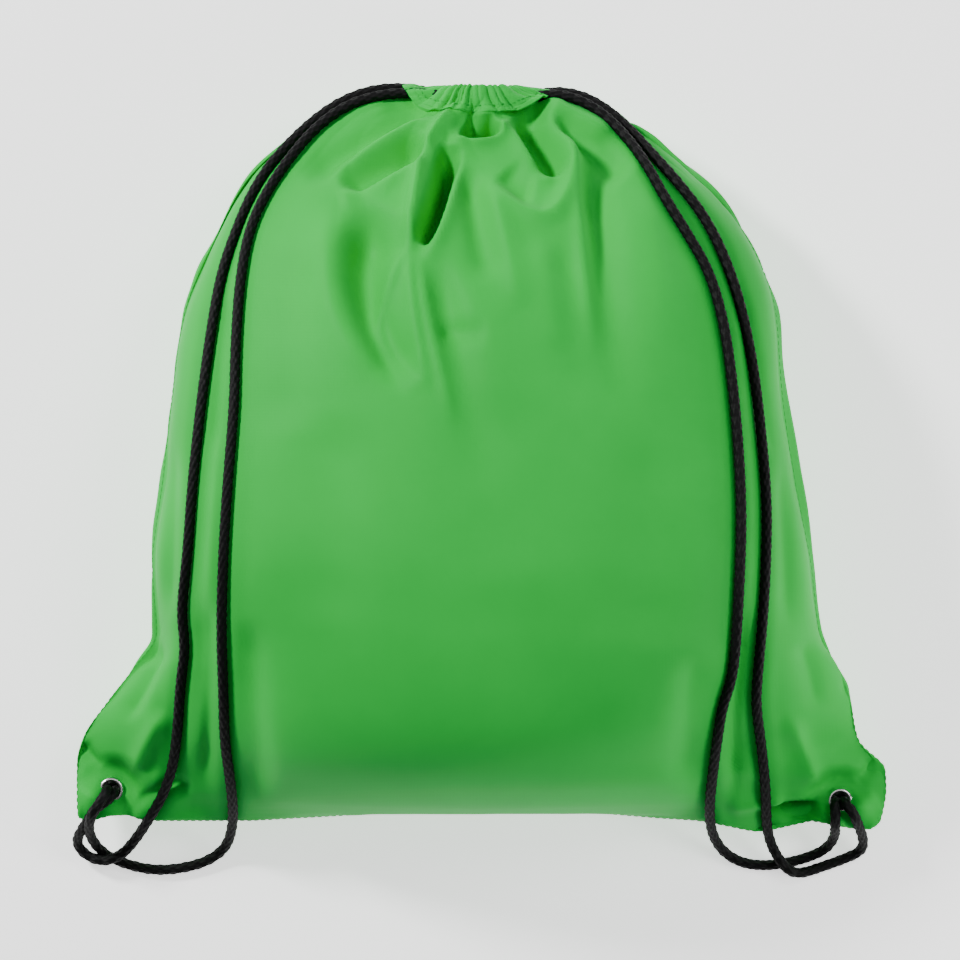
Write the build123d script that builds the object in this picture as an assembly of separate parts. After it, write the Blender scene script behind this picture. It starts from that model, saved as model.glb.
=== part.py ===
from build123d import *
import os
from math import sin, cos, tan, radians, pi

# Drawstring backpack lying on its back, millimetres.
# X runs across the bag, Y from the bottom seam to the gathered mouth, Z up from the surface it lies on.

# ---- driving dimensions ----
CORD = 4.2              # braided cord diameter
PLY = 1.3               # stand-in thickness of one fabric ply where two plies lie flat together
WALL = 1.8              # stand-in thickness of the stuffed panels
SEAM_WALL = 3.2         # width of the folded seam allowance inside the side seams
FLOOR_PLY = 1.3         # thickness of the back panel where it rests

NECK_Y = 146.0          # where the panels end and the hem channels begin
TOP_Y = 158.5           # top edge of the gathered mouth
NECK_X, NECK_Z = -1.0, 31.0
NECK_R = 21.0           # outside radius of the gathered mouth
THROAT_R = 12.4         # open way into the bag
RING_R = 16.5           # radius of the cord's run inside the channels
TUNNEL_IN, TUNNEL_OUT = 14.0, 19.0
TUNNEL_Y0, TUNNEL_Y1 = 147.2, 157.3
LEFT_RING_Y, RIGHT_RING_Y = 154.6, 149.8
CHANNEL_HALF_ANGLE = 45.0

EAR_Z = 20.0            # height of the flat corner ears
LEFT_EYE = (-158.3, -140.7)
RIGHT_EYE = (153.0, -145.4)
EYE_R, BARREL_R, FLANGE_R = 3.5, 3.9, 5.3
LAND = 1.0              # half thickness of the pressed fabric under an eyelet
FLANGE_T = 0.7
STUB_R = 3.0            # squeezed pair of cords inside the eyelet
STUB_TOP = 22.6
KNOT_R, KNOT_TOP, KNOT_BOTTOM = 5.6, 17.5, 8.0

THREAD = 0.8
CENTRE = (0.1, -1.75, 0)  # moves the middle of the bag's own box onto the origin

# Outer stations: y, left x, right x, seam z, rise of the front, depth of the back, fullness exponent
STATIONS = [
    (-155, -171.0, 169.0, 20, 0.4, 0.4, 1.60),
    (-147, -172.4, 171.5, 20, 20, 9, 1.70),
    (-138, -172.6, 172.4, 20, 42, 16, 1.60),
    (-124, -171.5, 167.0, 21, 64, 24, 1.35),
    (-100, -157.0, 157.0, 27, 78, 30, 0.95),
    (-70, -141.0, 144.0, 35, 84, 38, 0.60),
    (-30, -138.5, 134.0, 41, 81, 44, 0.50),
    (15, -133.0, 129.0, 43, 76, 46, 0.50),
    (55, -126.0, 125.0, 42, 66, 45, 0.50),
    (88, -115.0, 112.0, 40, 54, 41, 0.50),
    (112, -103.0, 98.0, 37, 41, 35, 0.50),
    (127, -88.0, 83.0, 34, 33, 29, 0.50),
    (137, -68.0, 64.0, 32, 28, 25, 0.50),
    (143, -42.0, 39.0, 31, 24, 23, 0.50),
    (146, -22.0, 20.0, 31, 21, 21, 0.50),
]


def station(y, xl, xr, zs, up, dn, q, ply=PLY, n=12):
    """Closed outline of the bag at one station: flat two-ply tips that swell into a belly."""
    def half(sign):
        pts = []
        for k in range(n + 1):
            u, s = sin(pi * k / n), cos(pi * k / n)
            flat = ply * (1 - u ** 8) ** 0.5 if u < 1 else 0.0
            rise = flat + (up if s > 0 else dn) * abs(s) ** (2 * q) if k != n / 2 else 0.0
            pts.append(Vector((xl + xr) / 2 + sign * (xr - xl) / 2 * u, y, zs + (rise if s > 0 else -rise)))
        return pts
    level = Vector(1, 0, 0)
    right = Spline(*half(1), tangents=[level, -level])
    left = Spline(*half(-1)[::-1], tangents=[-level, level])
    return make_face(Wire([right, left]))


def outer_solid():
    rows = [station(*s, ply=PLY if s[0] < NECK_Y else 0.0) for s in STATIONS]
    body = loft(rows, ruled=True)
    return body - Pos(0, 0, -50) * Box(500, 500, 100)


def inner_solid():
    """The cavity: the outer stations drawn in by the wall, and short of the flat ears."""
    rows = []
    for y, xl, xr, zs, up, dn, q in STATIONS[1:]:
        ear = max(0.0, q - 0.5) * 22
        inset = SEAM_WALL + ear
        near_neck = 0.0 if y < 130 else (1.4 if y < NECK_Y else 0.0)
        dy = 3.5 if y < -120 else (-near_neck)
        drop = 3.4 if y < -120 else WALL
        if y == NECK_Y:
            inset, dy, drop = 1.8, 2.0, 1.8
        rows.append(station(y + dy, xl + inset, xr - inset, zs, up - drop, dn - min(drop, 2.4),
                            q if q <= 0.6 else q * 0.9, ply=0.0))
    return loft(rows, ruled=True) - Pos(0, 0, -50 + FLOOR_PLY) * Box(500, 500, 100)


def seam_curve():
    return Spline((-125, EAR_Z), (-100, 26.5), (-70, 35), (-30, 41), (15, 43), (55, 42), (88, 40),
                  (112, 37), (146, NECK_Z), tangents=[(1, 0), (1, 0)])


def above_seam():
    """Everything above the seam surface, which rises and falls along Y and is level across X."""
    curve = seam_curve()
    edge = [Line((-200, EAR_Z), (-125, EAR_Z)), curve, Line((146, NECK_Z), (200, NECK_Z)),
            Line((200, NECK_Z), (200, 300)), Line((200, 300), (-200, 300)), Line((-200, 300), (-200, EAR_Z))]
    face = Plane.YZ * make_face(Wire(edge))
    return extrude(face, amount=250, both=True)


def seam_slab(half):
    """A thin layer either side of the seam surface, from the bottom seam to the neck."""
    curve = seam_curve()
    low, high = Pos(0, -half) * curve, Pos(0, half) * curve
    edge = [Line((-160, EAR_Z - half), (-125, EAR_Z - half)), low, Line(low @ 1, high @ 1), high,
            Line((-125, EAR_Z + half), (-160, EAR_Z + half)), Line((-160, EAR_Z + half), (-160, EAR_Z - half))]
    return extrude(Plane.YZ * make_face(Wire(edge)), amount=250, both=True)


def side_seam(sign):
    """Lockstitch line of one side seam: a bead that follows the outline inside the seam allowance."""
    rim = [((s[1] if sign < 0 else s[2]) - sign * 1.3, s[0]) for s in STATIONS[1:-3]]
    inner = [(x - sign * THREAD, y) for x, y in rim]
    strip = extrude(make_face(Polyline(*rim, *inner[::-1], close=True)), amount=80)
    return strip & seam_slab(THREAD / 2)


def bottom_seam():
    return Pos(-1, -152.4, EAR_Z) * Box(326, THREAD, THREAD)


def slot_bartack(sign):
    """Bar of stitches across the seam where the two hems part."""
    return Pos(NECK_X + sign * 20.1, NECK_Y + 0.4, NECK_Z) * Box(1.4, 0.8, 5.0)


def ring_sector(r0, r1, y0, y1, mid, half):
    """Part of a ring about the neck's axis, between two heights along Y."""
    a0, a1 = radians(mid - half), radians(mid + half)
    am = radians(mid)

    def p(r, a):
        return (NECK_X + r * cos(a), NECK_Z + r * sin(a))
    edge = [ThreePointArc(p(r1, a0), p(r1, am), p(r1, a1)), Line(p(r1, a1), p(r0, a1)),
            ThreePointArc(p(r0, a1), p(r0, am), p(r0, a0)), Line(p(r0, a0), p(r1, a0))]
    plane = Plane(origin=(0, y1, 0), x_dir=(1, 0, 0), z_dir=(0, -1, 0))
    return extrude(plane * make_face(Wire(edge)), amount=y1 - y0)


def stitch_bead(mid):
    """Hem stitching: a bead sunk half way into the channel's outer face."""
    half = CHANNEL_HALF_ANGLE - 3
    a0 = radians(mid - half)
    start = Vector(NECK_X + NECK_R * cos(a0), NECK_Y + 0.6 + THREAD / 2, NECK_Z + NECK_R * sin(a0))
    plane = Plane(origin=start, x_dir=(0, 1, 0), z_dir=(-sin(a0), 0, cos(a0)))
    axis = Axis((NECK_X, 0, NECK_Z), (0, -1, 0))
    return revolve(plane * Rectangle(THREAD, THREAD), axis, 2 * half)


def channel(mid):
    body = ring_sector(THROAT_R, NECK_R, NECK_Y, TOP_Y, mid, CHANNEL_HALF_ANGLE)
    tunnel = ring_sector(TUNNEL_IN, TUNNEL_OUT, TUNNEL_Y0, TUNNEL_Y1, mid, CHANNEL_HALF_ANGLE + 5)
    return body - tunnel - stitch_bead(mid)


def channel_run(side):
    """The cord inside both channels: once round the mouth, open towards its own side."""
    y = LEFT_RING_Y if side < 0 else RIGHT_RING_Y
    gap = CHANNEL_HALF_ANGLE
    a0 = radians(180 + gap) if side < 0 else radians(gap)
    start = Vector(NECK_X + RING_R * cos(a0), y, NECK_Z + RING_R * sin(a0))
    plane = Plane(origin=start, x_dir=(0, 1, 0), z_dir=(-sin(a0), 0, cos(a0)))
    return revolve(plane * Circle(CORD / 2), Axis((NECK_X, 0, NECK_Z), (0, -1, 0)), 360 - 2 * gap)


def ring_end(side, front):
    a = radians(90 + side * -45) if front else radians(270 + side * 45)
    y = LEFT_RING_Y if side < 0 else RIGHT_RING_Y
    return (NECK_X + RING_R * cos(a), y, NECK_Z + RING_R * sin(a))


def ring_lead(side, front, reach=9.0):
    """The point straight out of the channel's end."""
    x, y, z = ring_end(side, front)
    return (x + side * reach * sin(radians(45)), y, z + (-1 if front else 1) * reach * sin(radians(45)))


# Free strands: from the channel's end over the shoulder, down the front, round on the floor and up to the eyelet
LEFT_INNER = [ring_end(-1, True), ring_lead(-1, True), (-29, 156.5, 33), (-44, 155, 34), (-58, 149, 38),
              (-70, 139, 44), (-81, 126.5, 54), (-92, 110, 65), (-99, 91, 73), (-103, 68, 82), (-103.5, 43, 92),
              (-104.5, 15, 98), (-107, -14, 100), (-109, -45, 98), (-109.6, -75, 89), (-109, -98, 78),
              (-109, -117, 66), (-107.3, -133, 52), (-106, -146, 39), (-106.5, -156.5, 24), (-110, -165.5, 9),
              (-118, -171.5, 3.2), (-128, -175, 2.5), (-139, -176, 2.4), (-149, -174.6, 2.4),
              (-158.5, -171, 3), (-164.5, -165.5, 8), (-166, -161.5, 18), (-166.5, -157.5, 29), (-164.5, -150.5, 34.5),
              (-161.5, -144.8, 32.5), (-160.45, -140.7, 28), (-160.45, -140.7, STUB_TOP)]
LEFT_OUTER = [ring_end(-1, False), ring_lead(-1, False), (-30, 158.5, 26.3), (-45, 158.6, 28), (-59, 153, 31),
              (-72, 143.5, 36), (-84, 131.5, 44), (-92, 122, 51), (-98.5, 111, 58), (-104.5, 96, 64),
              (-110.5, 78, 70), (-115, 50, 79), (-119, 18, 84), (-122, -11, 85), (-124, -40, 84),
              (-127, -65, 75), (-125.6, -79, 72), (-127.5, -95, 66), (-129, -114, 55), (-131.5, -131, 43),
              (-136, -143, 33), (-142, -153, 27.5), (-147.5, -162, 17.5), (-154, -168.5, 11.5),
              (-161.5, -171.8, 11), (-169.5, -169.5, 8), (-173.5, -163.5, 12), (-171.5, -157.5, 21),
              (-166, -152.5, 25.3), (-160, -148.6, 26.5), (-156.5, -144.6, 28.5), (-156.15, -140.7, 26.8),
              (-156.15, -140.7, STUB_TOP)]
RIGHT_INNER = [ring_end(1, True), ring_lead(1, True), (26.5, 152.3, 33.5), (39, 153.6, 35), (50, 147, 40),
               (60, 137.3, 49), (69, 125, 62), (77, 111, 71), (86.5, 95.5, 78), (96, 79, 82), (102, 57, 88),
               (105.5, 31, 93), (108, 2, 95), (109, -25, 97), (108, -52, 98), (106.8, -76, 93),
               (105.3, -92, 86), (101.3, -104, 79), (99.5, -117, 70), (98, -131, 58), (97, -143, 45),
               (97, -153, 31), (99, -161, 17), (104, -168.5, 6), (111.5, -172.8, 2.8), (120.5, -174, 2.4),
               (129.5, -173, 2.4), (138, -171, 2.5), (145.5, -168, 3.5), (149.5, -164.3, 9),
               (151.2, -160, 18), (151.2, -155.3, 28), (151, -149.5, 30.5), (150.85, -145.4, 27),
               (150.85, -145.4, STUB_TOP)]
RIGHT_OUTER = [ring_end(1, False), ring_lead(1, False), (27.5, 153.6, 26.3), (41, 157, 29), (53, 151, 32),
               (63.5, 141.5, 39), (73, 129.5, 52), (83, 117.5, 61), (94, 103, 67), (102, 87, 72),
               (108.5, 68, 77), (114, 42, 81), (117.5, 13, 83), (120, -17, 85), (119.5, -44, 88),
               (118, -69, 87), (116.3, -89, 79), (115.6, -103, 71), (118, -118, 59), (120, -133, 47),
               (121, -145, 36), (121.5, -155.5, 27), (123, -162.5, 16), (126, -169, 11), (130.5, -175.4, 10.5),
               (137.5, -177.4, 4.5), (146.5, -175, 2.5), (155.5, -171.5, 2.5), (162.5, -167.5, 6),
               (163.5, -161.5, 15), (159.5, -157, 24), (156, -151.8, 29), (155.15, -145.4, 27.3),
               (155.15, -145.4, STUB_TOP)]


def bend_radii(points):
    """One radius per corner: what the shorter run beside it has room for."""
    v = [Vector(*p) for p in points]
    radii = []
    for a, b, c in zip(v, v[1:], v[2:]):
        half_turn = radians((b - a).get_angle(c - b)) / 2
        radii.append(0.45 * min((b - a).length, (c - b).length) / tan(half_turn))
    return radii


def strand(name, points):
    radii = bend_radii(points)
    path = FilletPolyline(*points, radius=radii)
    v = [Vector(*p) for p in points]
    start = Plane(origin=v[0], z_dir=(v[1] - v[0]).normalized())
    tube = sweep(start * Circle(CORD / 2), path=path)
    length = sum(e.length for e in path.edges())
    print(f"{name}: length {length:.1f}, volume ratio {tube.volume / (pi * CORD ** 2 / 4 * length):.4f}, "
          f"tightest bends {[round(r, 1) for r in sorted(radii)[:6]]}")
    return tube


def tube_between(points, d):
    radii = bend_radii(points)
    path = FilletPolyline(*points, radius=radii) if len(points) > 3 else \
        FilletPolyline(*points, radius=radii[0])
    v = [Vector(*p) for p in points]
    return sweep(Plane(origin=v[0], z_dir=(v[1] - v[0]).normalized()) * Circle(d / 2), path=path)


def knot(eye):
    """Both ends of the cord tied in one overhand knot, with the squeezed pair that fills the eyelet."""
    x, y = eye
    mid = (KNOT_TOP + KNOT_BOTTOM) / 2
    half = (KNOT_TOP - KNOT_BOTTOM) / 2
    outline = [(0, KNOT_TOP), (2.6, KNOT_TOP), (KNOT_R - 0.6, mid + half * 0.55), (KNOT_R - 0.9, mid),
               (KNOT_R, mid - half * 0.45), (2.8, KNOT_BOTTOM), (0, KNOT_BOTTOM)]
    profile = Wire([Line(outline[0], outline[1]),
                    Spline(outline[1], outline[2], outline[3], outline[4], outline[5]),
                    Line(outline[5], outline[6]), Line(outline[6], outline[0])])
    body = revolve(Plane.XZ * make_face(profile), Axis.Z)
    stub = Pos(0, 0, (KNOT_TOP + STUB_TOP) / 2) * Cylinder(STUB_R, STUB_TOP - KNOT_TOP)
    return Pos(x, y, 0) * (body + stub)


def knot_tail(eye, heading, length, z):
    """One cut end of the cord beyond the knot, rounded where the braid was melted."""
    x, y = eye
    d = Vector(cos(radians(heading)), sin(radians(heading)), 0)
    side = Vector(cos(radians(heading + 25)), sin(radians(heading + 25)), 0)
    a = Vector(x, y, z) + d * 3.0
    b = a + d * length * 0.5
    c = b + side * length * 0.5
    tail = tube_between([tuple(a), tuple(b), tuple(c)], CORD)
    return tail + Pos(*c) * Sphere(CORD / 2)


def eyelet(eye):
    """Grommet: a rounded flange on the front ply, a barrel through both plies and a rolled end."""
    x, y = eye
    z = EAR_Z + LAND
    flange = Pos(0, 0, z + FLANGE_T / 2) * Cylinder(FLANGE_R, FLANGE_T)
    flange = fillet(flange.edges().group_by(Axis.Z)[-1], 0.4)
    low = EAR_Z - LAND - 0.6 - 0.5
    barrel = Pos(0, 0, (z + low) / 2) * Cylinder(BARREL_R, z - low)
    roll = Pos(0, 0, low + 0.25) * Cylinder(4.6, 0.5)
    hole = Pos(0, 0, z) * Cylinder(EYE_R, 20)
    return Pos(x, y, 0) * (flange + barrel + roll - hole)


def eyelet_washer(eye):
    x, y = eye
    z = EAR_Z - LAND - 0.3
    return Pos(x, y, 0) * (Pos(0, 0, z) * (Cylinder(FLANGE_R, 0.6) - Cylinder(BARREL_R, 2)))


def panels():
    shell = outer_solid() - inner_solid()
    threads = [side_seam(-1), side_seam(1), bottom_seam()]
    for t in threads:
        shell -= t
    for x, y in (LEFT_EYE, RIGHT_EYE):
        shell -= Pos(x, y, EAR_Z) * Cylinder(BARREL_R, 20)
        shell -= Pos(x, y, EAR_Z + LAND + 5) * Cylinder(FLANGE_R + 0.5, 10)
        shell -= Pos(x, y, EAR_Z - LAND - 5) * Cylinder(FLANGE_R + 0.5, 10)
    top = above_seam()
    return shell & top, shell - top, threads


def main():
    os.makedirs("parts", exist_ok=True)
    front, back, threads = panels()
    nodes = {
        "front_panel": front,
        "back_panel": back,
        "front_channel": channel(90),
        "back_channel": channel(270),
        "front_hem_stitching": stitch_bead(90),
        "back_hem_stitching": stitch_bead(270),
        "left_seam_stitching": threads[0],
        "right_seam_stitching": threads[1],
        "bottom_seam_stitching": threads[2],
        "left_slot_bartack": slot_bartack(-1),
        "right_slot_bartack": slot_bartack(1),
        "left_channel_cord": channel_run(-1),
        "right_channel_cord": channel_run(1),
        "left_inner_strand": strand("left_inner_strand", LEFT_INNER),
        "left_outer_strand": strand("left_outer_strand", LEFT_OUTER),
        "right_inner_strand": strand("right_inner_strand", RIGHT_INNER),
        "right_outer_strand": strand("right_outer_strand", RIGHT_OUTER),
    }
    for side, eye, first in (("left", LEFT_EYE, 60), ("right", RIGHT_EYE, 95)):
        body = knot(eye)
        tail_a = knot_tail(eye, first, 15, 12.2) - body
        tail_b = knot_tail(eye, first + 95, 13, 12.2) - body
        nodes[f"{side}_eyelet"] = eyelet(eye)
        nodes[f"{side}_eyelet_washer"] = eyelet_washer(eye)
        nodes[f"{side}_knot"] = body
        nodes[f"{side}_tail_a"] = tail_a
        nodes[f"{side}_tail_b"] = tail_b
    for name, shape in nodes.items():
        shape = Pos(*CENTRE) * shape
        solids = shape.solids()
        box = shape.bounding_box()
        print(f"{name}: {len(solids)} solid(s), volume {sum(s.volume for s in solids):.1f}, "
              f"X {box.min.X:.1f}..{box.max.X:.1f} Y {box.min.Y:.1f}..{box.max.Y:.1f} "
              f"Z {box.min.Z:.1f}..{box.max.Z:.1f}, valid {shape.is_valid}")
        export_step(solids[0], f"parts/{name}.step")


main()
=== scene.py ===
import math

import bpy
import numpy as np
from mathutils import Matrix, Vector
from mathutils.bvhtree import BVHTree
from mathutils.kdtree import KDTree


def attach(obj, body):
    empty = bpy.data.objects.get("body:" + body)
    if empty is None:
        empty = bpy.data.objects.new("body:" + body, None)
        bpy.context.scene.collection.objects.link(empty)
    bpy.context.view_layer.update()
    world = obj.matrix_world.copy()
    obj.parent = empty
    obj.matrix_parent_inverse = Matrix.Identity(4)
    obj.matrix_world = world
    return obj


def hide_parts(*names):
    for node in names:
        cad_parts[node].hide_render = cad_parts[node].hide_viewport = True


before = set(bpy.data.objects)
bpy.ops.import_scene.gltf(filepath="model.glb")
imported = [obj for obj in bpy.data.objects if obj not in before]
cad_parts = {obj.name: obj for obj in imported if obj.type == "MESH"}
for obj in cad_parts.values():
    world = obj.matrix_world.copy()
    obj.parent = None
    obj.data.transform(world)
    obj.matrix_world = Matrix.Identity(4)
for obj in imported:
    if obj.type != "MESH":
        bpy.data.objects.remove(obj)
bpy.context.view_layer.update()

MM = 0.001
CENTRE = np.array([0.1, -1.75, 0.0])     # the row frame's origin, in the millimetres used below
CORD_R = 2.1
BRAID_PITCH = 5.4                        # length of one turn of the braid along a cord
LEFT_EYE, RIGHT_EYE = (-158.3, -140.7), (153.0, -145.4)
EYE_HEIGHT = 20.0                        # height of the pressed corners that carry the eyelets
CLOTH_HOLE_R = 4.2


def metres(points):
    return (np.asarray(points, float) + CENTRE) * MM


# ---------------------------------------------------------------- camera
CAMERA_HEIGHT, FIELD = 4000.0, 408.0
cam_data = bpy.data.cameras.new("camera")
cam = bpy.data.objects.new("camera", cam_data)
bpy.context.scene.collection.objects.link(cam)
cam_data.sensor_width = 36.0
cam_data.lens = 36.0 * CAMERA_HEIGHT / FIELD
cam_data.clip_start, cam_data.clip_end = 0.1, 20.0
cam.location = Vector(metres([-0.85, -8.5, CAMERA_HEIGHT + 40.0]))
bpy.context.scene.camera = cam

# ---------------------------------------------------------------- cord routes (millimetres)
LEFT_INNER = [(-12.7, 154.6, 42.7), (-19, 155.2, 38), (-29, 156.5, 36), (-44.5, 155.2, 37),
              (-58, 150.7, 39), (-70.2, 141.7, 43), (-80.4, 129.6, 51), (-91, 113.8, 60), (-98.4, 97.2, 67),
              (-102, 76, 75), (-103.6, 50, 84), (-104, 22, 92), (-106.5, -8, 96), (-108.6, -40, 95),
              (-109.6, -72, 87), (-109, -98, 75), (-109, -117, 62), (-107.3, -133, 47), (-106, -146, 33),
              (-106.5, -156.5, 17), (-109.5, -166, 5), (-117.5, -172, 2.4), (-128, -175, 2.3),
              (-139, -176, 2.3), (-149, -174.4, 2.3), (-158.5, -171, 2.6), (-164.5, -166.5, 5.5),
              (-167.8, -160.5, 14), (-167.8, -155, 24), (-165.7, -149.8, 30.3), (-161.7, -144.3, 30.9),
              (-159.8, -140.7, 27.9), (-159.8, -140.7, 21.8), (-159.8, -140.7, 17.5)]
LEFT_OUTER = [(-12.7, 154.6, 19.3), (-19, 155.6, 26), (-30, 158.5, 30.5), (-45, 158.2, 31.5),
              (-59, 153.5, 33), (-72, 144.5, 36), (-84, 132.5, 42), (-92, 122.5, 47), (-98.5, 111, 52),
              (-104.5, 96, 58), (-110.5, 78, 64), (-115, 50, 72), (-119, 18, 78), (-122, -11, 80),
              (-124, -40, 79), (-127, -64, 71), (-125.2, -79, 67), (-127.6, -95, 60), (-129, -114, 50),
              (-131.5, -131, 38), (-136, -143, 28.5), (-142, -153, 22), (-148, -162, 12), (-154, -169, 7.6),
              (-162, -172.2, 7), (-170, -169.5, 4.5), (-174.2, -163.5, 8), (-170.5, -157, 17.5),
              (-164.9, -148.5, 25.4), (-160.7, -145.9, 27.3), (-157.4, -142.7, 25.7),
              (-156.7, -140.7, 21.7), (-156.7, -140.7, 17.5)]
RIGHT_INNER = [(10.7, 149.8, 42.7), (17, 152, 38), (27, 156, 36.5), (39.5, 154.2, 38), (51, 147.6, 41),
               (61, 137.6, 47), (69.5, 125.4, 58), (77, 111, 67), (86.5, 95.5, 73), (96, 79, 77),
               (102, 57, 83), (105.5, 31, 88), (108, 2, 91), (109, -25, 93), (108, -52, 94),
               (106.8, -76, 88), (105.3, -92, 80), (101.3, -104, 74), (99.5, -117, 66), (98, -131, 53),
               (97, -143, 40), (97, -153, 26), (99, -161.5, 12), (104, -168.5, 3.8), (111.5, -172.8, 2.4),
               (120.5, -174, 2.3), (129.5, -173, 2.3), (138, -171, 2.3), (145.5, -168, 3),
               (149.5, -164.3, 7), (151, -160, 15), (150.6, -156.9, 26.1), (150.7, -152.2, 29.8),
               (150.3, -147.3, 27.7), (151.4, -145.4, 22.6), (151.4, -145.4, 17.5)]
RIGHT_OUTER = [(10.7, 149.8, 19.3), (17, 152, 26), (27.5, 157.2, 30.5), (41, 156, 32), (52.5, 150, 34.5),
               (63, 140.5, 39), (73, 129, 49), (83, 117.5, 57), (94, 103, 62), (102, 87, 67),
               (108.5, 68, 72), (114, 42, 76), (117.5, 13, 78), (120, -17, 80), (119.5, -44, 83),
               (118, -69, 82), (116.3, -89, 74), (115.6, -103, 66), (118, -118, 53), (120, -133, 41.5),
               (121, -145, 31), (121.5, -155, 20.5), (123, -162.5, 11), (126, -169, 7.4),
               (130.5, -175.4, 7), (136.2, -177.6, 3.6), (146.5, -174.2, 2.4), (155.5, -171, 2.4),
               (163, -167.5, 4), (163.4, -162, 11), (159.9, -154.1, 26.4), (158.2, -150.2, 29.8),
               (155.2, -146.8, 28.6), (154.5, -145.4, 24.1), (154.5, -145.4, 17.5)]
ROUTES = {"left_inner": LEFT_INNER, "left_outer": LEFT_OUTER, "right_inner": RIGHT_INNER,
          "right_outer": RIGHT_OUTER}


def link(obj):
    bpy.context.scene.collection.objects.link(obj)
    return obj


def route_line(name, points):
    """The route's NURBS, read back as points in millimetres."""
    curve = bpy.data.curves.new(name + "_route", "CURVE")
    curve.dimensions = "3D"
    curve.resolution_u = 14
    spline = curve.splines.new("NURBS")
    spline.points.add(len(points) - 1)
    for p, co in zip(spline.points, metres(points)):
        p.co = (*co, 1)
    spline.order_u = 3
    spline.use_endpoint_u = True
    obj = link(bpy.data.objects.new(name + "_route", curve))
    mesh = bpy.data.meshes.new_from_object(obj)
    line = np.array([v.co[:] for v in mesh.vertices])
    bpy.data.objects.remove(obj)
    bpy.data.meshes.remove(mesh)
    return line / MM - CENTRE


def resample(line, step):
    s = np.r_[0, np.cumsum(np.linalg.norm(np.diff(line, axis=0), axis=1))]
    t = np.linspace(0, s[-1], max(2, int(s[-1] / step) + 1))
    return np.stack([np.interp(t, s, line[:, k]) for k in range(3)], 1), t


def mesh_object(name, verts, faces, material=None, smooth=True):
    mesh = bpy.data.meshes.new(name)
    mesh.from_pydata([tuple(v) for v in metres(verts)], [], [tuple(int(i) for i in f) for f in faces])
    mesh.polygons.foreach_set("use_smooth", [smooth] * len(mesh.polygons))
    mesh.update()
    obj = link(bpy.data.objects.new(name, mesh))
    if material:
        mesh.materials.append(material)
    return obj


def grid_faces(rows, cols, closed, flip=False):
    r = np.arange(rows - 1)[:, None]
    c = np.arange(cols if closed else cols - 1)[None, :]
    a, b = r * cols + c, r * cols + (c + 1) % cols
    quads = np.stack([a, b, b + cols, a + cols], -1).reshape(-1, 4)
    return quads[:, ::-1] if flip else quads


def frames_along(line):
    """Tangents and a pair of normals that don't twist."""
    tangent = np.gradient(line, axis=0)
    tangent /= np.linalg.norm(tangent, axis=1)[:, None]
    n = np.cross(tangent[0], (0, 0, 1.0) if abs(tangent[0][2]) < 0.9 else (1.0, 0, 0))
    n /= np.linalg.norm(n)
    normals = []
    for t in tangent:
        n = n - t * (n @ t)
        n /= np.linalg.norm(n)
        normals.append(n)
    normals = np.array(normals)
    return tangent, normals, np.cross(tangent, normals)


def braid_bump(phi, s):
    """Height of the braid, 0 to 1: two families of helical bumps that cross over each other."""
    lay = 2 * math.pi * s[:, None] / BRAID_PITCH
    return np.abs(np.cos(3 * phi + lay / 2) * np.cos(3 * phi - lay / 2)) ** 0.6


def rings(pts, n1, n2, phi, r):
    """Points at the angles phi and the distances r round each point of a line."""
    spokes = np.cos(phi)[..., None] * n1[:, None] + np.sin(phi)[..., None] * n2[:, None]
    return pts[:, None] + r[..., None] * spokes


def braided_tube(name, line, material, radius, around=30, step=0.5):
    """A round braid with closed ends. The radius is a number or a function of the length along the line."""
    pts, s = resample(line, step)
    _, n1, n2 = frames_along(pts)
    phi = np.linspace(0, 2 * math.pi, around, endpoint=False)[None, :]
    plain = np.asarray(radius(s) if callable(radius) else radius, float).reshape(-1, 1)
    r = np.broadcast_to(plain, (len(s), 1)) * (0.84 + 0.28 * braid_bump(phi, s))
    verts = rings(pts, n1, n2, phi, r).reshape(-1, 3)
    faces = grid_faces(len(pts), around, True).tolist()
    caps = np.vstack([verts, pts[0], pts[-1]])
    first, last = len(verts), len(verts) + 1
    end = (len(pts) - 1) * around
    faces += [(first, (k + 1) % around, k) for k in range(around)]
    faces += [(last, end + k, end + (k + 1) % around) for k in range(around)]
    return mesh_object(name, caps, faces, material), pts


LINES = {name: route_line(name, points) for name, points in ROUTES.items()}


# ---------------------------------------------------------------- materials
def new_material(name):
    m = bpy.data.materials.new(name)
    m.use_nodes = True
    nt = m.node_tree
    return m, nt, nt.nodes["Principled BSDF"]


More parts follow.
